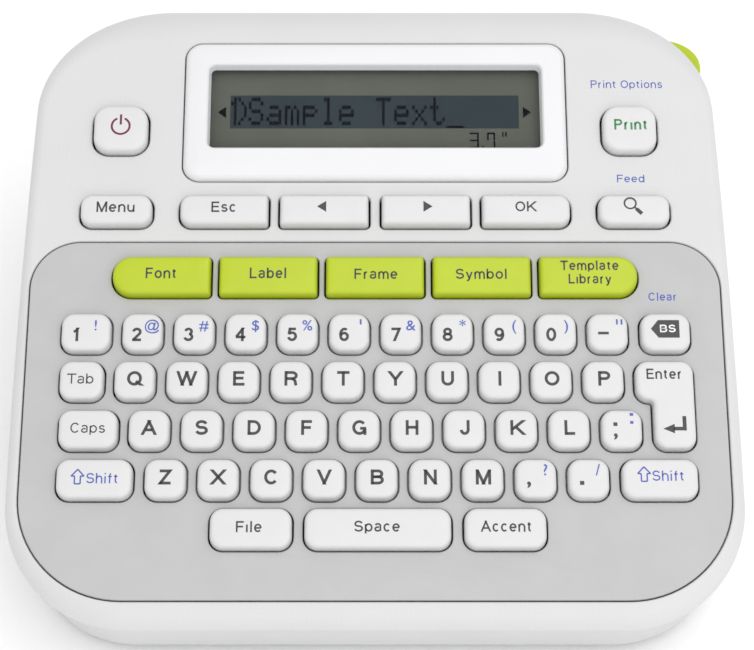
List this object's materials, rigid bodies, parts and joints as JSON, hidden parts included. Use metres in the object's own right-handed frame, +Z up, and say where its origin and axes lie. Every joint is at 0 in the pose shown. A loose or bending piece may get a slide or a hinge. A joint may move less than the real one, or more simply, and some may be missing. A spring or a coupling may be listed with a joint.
{
  "type": "label maker",
  "caption": "Desktop label printer with a sloping keyboard deck, raised display frame, coloured function keys, corner cutter lever and cassette bay below.",
  "frame": {"origin": "bottom centre of the bounding box, on the plane of the feet", "axes": "+X to the right as the user sits, +Y to the back, +Z up"},
  "size_m": [0.157, 0.1491, 0.068],
  "materials": {
    "casing_white": "fine moulded grid texture",
    "display_white": "glossy",
    "plate_grey": "satin",
    "key_white": "satin",
    "lime_plastic": "satin",
    "window_clear": "clear, polished",
    "lcd": "satin",
    "silicone": "matte",
    "circuit_board": "solder mask",
    "dark_plastic": "satin",
    "acetal": "satin",
    "brass": "machined",
    "steel": "zinc plated",
    "ceramic": "glazed",
    "aluminium": "satin",
    "rubber": "matte",
    "cassette_shell": "satin"
  },
  "bodies": {
    "casing": {"upper_casing": "casing_white", "lower_casing": "casing_white", "display_frame": "display_white", "keyboard_plate": "plate_grey", "display_window": "window_clear", "lcd_panel": "lcd", "contact_sheet": "silicone", "main_circuit_board": "circuit_board", "mechanism_frame": "dark_plastic", "dc_jack": "dark_plastic", "feed_motor": "steel", "cutter_spring": "steel", "battery_contacts_front": "steel", "battery_contacts_rear": "steel", "casing_screw_front_left": "steel", "casing_screw_front_right": "steel", "casing_screw_rear_left": "steel", "casing_screw_rear_right": "steel", "print_head": "ceramic", "head_heat_sink": "aluminium", "foot_front_left": "rubber", "foot_front_right": "rubber", "foot_rear_left": "rubber", "foot_rear_right": "rubber", "tape_cassette": "cassette_shell"},
    "key_power": {"key_power": "key_white"},
    "key_print": {"key_print": "key_white"},
    "key_menu": {"key_menu": "key_white"},
    "key_escape": {"key_escape": "key_white"},
    "key_left": {"key_left": "key_white"},
    "key_right": {"key_right": "key_white"},
    "key_ok": {"key_ok": "key_white"},
    "key_zoom": {"key_zoom": "key_white"},
    "key_backspace": {"key_backspace": "key_white"},
    "key_tab": {"key_tab": "key_white"},
    "key_enter": {"key_enter": "key_white"},
    "key_caps": {"key_caps": "key_white"},
    "key_shift_left": {"key_shift_left": "key_white"},
    "key_shift_right": {"key_shift_right": "key_white"},
    "key_file": {"key_file": "key_white"},
    "key_space": {"key_space": "key_white"},
    "key_accent": {"key_accent": "key_white"},
    "key_font": {"key_font": "lime_plastic"},
    "key_label": {"key_label": "lime_plastic"},
    "key_frame": {"key_frame": "lime_plastic"},
    "key_symbol": {"key_symbol": "lime_plastic"},
    "key_template": {"key_template": "lime_plastic"},
    "number_key_row": {"number_key_row": "key_white"},
    "upper_letter_row": {"upper_letter_row": "key_white"},
    "middle_letter_row": {"middle_letter_row": "key_white"},
    "lower_letter_row": {"lower_letter_row": "key_white"},
    "cutter_lever": {"cutter_lever": "lime_plastic"},
    "cutter_blade": {"cutter_blade": "steel"},
    "platen_holder": {"platen_holder": "dark_plastic"},
    "platen_roller": {"platen_roller": "rubber"},
    "reduction_gear": {"reduction_gear": "acetal"},
    "motor_pinion": {"motor_pinion": "brass"},
    "take_up_spindle": {"take_up_spindle": "acetal"},
    "back_cover": {"back_cover": "casing_white"}
  },
  "joints": [
    {"name": "key_power_press", "type": "slide", "parent": "casing", "child": "key_power", "axis": [0, 0.309, -0.9511], "range_m": [0, 0.0012], "stiffness_N_per_m": 300},
    {"name": "key_print_press", "type": "slide", "parent": "casing", "child": "key_print", "axis": [0, 0.309, -0.9511], "range_m": [0, 0.0012], "stiffness_N_per_m": 300},
    {"name": "key_menu_press", "type": "slide", "parent": "casing", "child": "key_menu", "axis": [0, 0.309, -0.9511], "range_m": [0, 0.0012], "stiffness_N_per_m": 300},
    {"name": "key_escape_press", "type": "slide", "parent": "casing", "child": "key_escape", "axis": [0, 0.309, -0.9511], "range_m": [0, 0.0012], "stiffness_N_per_m": 300},
    {"name": "key_left_press", "type": "slide", "parent": "casing", "child": "key_left", "axis": [0, 0.309, -0.9511], "range_m": [0, 0.0012], "stiffness_N_per_m": 300},
    {"name": "key_right_press", "type": "slide", "parent": "casing", "child": "key_right", "axis": [0, 0.309, -0.9511], "range_m": [0, 0.0012], "stiffness_N_per_m": 300},
    {"name": "key_ok_press", "type": "slide", "parent": "casing", "child": "key_ok", "axis": [0, 0.309, -0.9511], "range_m": [0, 0.0012], "stiffness_N_per_m": 300},
    {"name": "key_zoom_press", "type": "slide", "parent": "casing", "child": "key_zoom", "axis": [0, 0.309, -0.9511], "range_m": [0, 0.0012], "stiffness_N_per_m": 300},
    {"name": "key_backspace_press", "type": "slide", "parent": "casing", "child": "key_backspace", "axis": [0, 0.309, -0.9511], "range_m": [0, 0.0012], "stiffness_N_per_m": 300},
    {"name": "key_tab_press", "type": "slide", "parent": "casing", "child": "key_tab", "axis": [0, 0.309, -0.9511], "range_m": [0, 0.0012], "stiffness_N_per_m": 300},
    {"name": "key_enter_press", "type": "slide", "parent": "casing", "child": "key_enter", "axis": [0, 0.309, -0.9511], "range_m": [0, 0.0012], "stiffness_N_per_m": 300},
    {"name": "key_caps_press", "type": "slide", "parent": "casing", "child": "key_caps", "axis": [0, 0.309, -0.9511], "range_m": [0, 0.0012], "stiffness_N_per_m": 300},
    {"name": "key_shift_left_press", "type": "slide", "parent": "casing", "child": "key_shift_left", "axis": [0, 0.309, -0.9511], "range_m": [0, 0.0012], "stiffness_N_per_m": 300},
    {"name": "key_shift_right_press", "type": "slide", "parent": "casing", "child": "key_shift_right", "axis": [0, 0.309, -0.9511], "range_m": [0, 0.0012], "stiffness_N_per_m": 300},
    {"name": "key_file_press", "type": "slide", "parent": "casing", "child": "key_file", "axis": [0, 0.309, -0.9511], "range_m": [0, 0.0012], "stiffness_N_per_m": 300},
    {"name": "key_space_press", "type": "slide", "parent": "casing", "child": "key_space", "axis": [0, 0.309, -0.9511], "range_m": [0, 0.0012], "stiffness_N_per_m": 300},
    {"name": "key_accent_press", "type": "slide", "parent": "casing", "child": "key_accent", "axis": [0, 0.309, -0.9511], "range_m": [0, 0.0012], "stiffness_N_per_m": 300},
    {"name": "key_font_press", "type": "slide", "parent": "casing", "child": "key_font", "axis": [0, 0.309, -0.9511], "range_m": [0, 0.0012], "stiffness_N_per_m": 300},
    {"name": "key_label_press", "type": "slide", "parent": "casing", "child": "key_label", "axis": [0, 0.309, -0.9511], "range_m": [0, 0.0012], "stiffness_N_per_m": 300},
    {"name": "key_frame_press", "type": "slide", "parent": "casing", "child": "key_frame", "axis": [0, 0.309, -0.9511], "range_m": [0, 0.0012], "stiffness_N_per_m": 300},
    {"name": "key_symbol_press", "type": "slide", "parent": "casing", "child": "key_symbol", "axis": [0, 0.309, -0.9511], "range_m": [0, 0.0012], "stiffness_N_per_m": 300},
    {"name": "key_template_press", "type": "slide", "parent": "casing", "child": "key_template", "axis": [0, 0.309, -0.9511], "range_m": [0, 0.0012], "stiffness_N_per_m": 300},
    {"name": "number_key_row_press", "type": "slide", "parent": "casing", "child": "number_key_row", "axis": [0, 0.309, -0.9511], "range_m": [0, 0.0012], "stiffness_N_per_m": 300},
    {"name": "upper_letter_row_press", "type": "slide", "parent": "casing", "child": "upper_letter_row", "axis": [0, 0.309, -0.9511], "range_m": [0, 0.0012], "stiffness_N_per_m": 300},
    {"name": "middle_letter_row_press", "type": "slide", "parent": "casing", "child": "middle_letter_row", "axis": [0, 0.309, -0.9511], "range_m": [0, 0.0012], "stiffness_N_per_m": 300},
    {"name": "lower_letter_row_press", "type": "slide", "parent": "casing", "child": "lower_letter_row", "axis": [0, 0.309, -0.9511], "range_m": [0, 0.0012], "stiffness_N_per_m": 300},
    {"name": "cutter_lever_press", "type": "hinge", "parent": "casing", "child": "cutter_lever", "pos_m": [0.069, 0.026, 0.045], "axis": [0, 0, 1], "range_deg": [0, 6], "stiffness_Nm_per_rad": 1},
    {"name": "cutter_blade_slide", "type": "slide", "parent": "casing", "child": "cutter_blade", "axis": [-1, 0, 0], "range_m": [0, 0.0038], "deforming": ["cutter_spring"]},
    {"name": "platen_holder_swing", "type": "hinge", "parent": "casing", "child": "platen_holder", "pos_m": [0.06, 0.012, 0.015], "axis": [0, 0, -1], "range_deg": [0, 6], "stiffness_Nm_per_rad": 0.3},
    {"name": "platen_spin", "type": "hinge", "parent": "platen_holder", "child": "platen_roller", "pos_m": [0.0565, 0.036, 0.03], "axis": [0, 0, 1], "continuous": true},
    {"name": "reduction_spin", "type": "hinge", "parent": "casing", "child": "reduction_gear", "pos_m": [0.0403, 0.036, 0.03], "axis": [0, 0, 1], "continuous": true},
    {"name": "motor_spin", "type": "hinge", "parent": "casing", "child": "motor_pinion", "pos_m": [0.02639, 0.03973, 0.03], "axis": [0, 0, 1], "continuous": true},
    {"name": "take_up_spin", "type": "hinge", "parent": "casing", "child": "take_up_spindle", "pos_m": [0.02884, 0.02454, 0.03], "axis": [0, 0, 1], "continuous": true},
    {"name": "back_cover_lift_off", "type": "slide", "parent": "casing", "child": "back_cover", "axis": [0, 0, -1], "range_m": [0, 0.03]}
  ],
  "couplings": [
    {"joint": "cutter_blade_slide", "follows": "cutter_lever_press", "m_per_rad": 0.0355},
    {"joint": "motor_spin", "follows": "reduction_spin", "ratio": -3},
    {"joint": "platen_spin", "follows": "reduction_spin", "ratio": -2},
    {"joint": "take_up_spin", "follows": "reduction_spin", "ratio": -2}
  ]
}
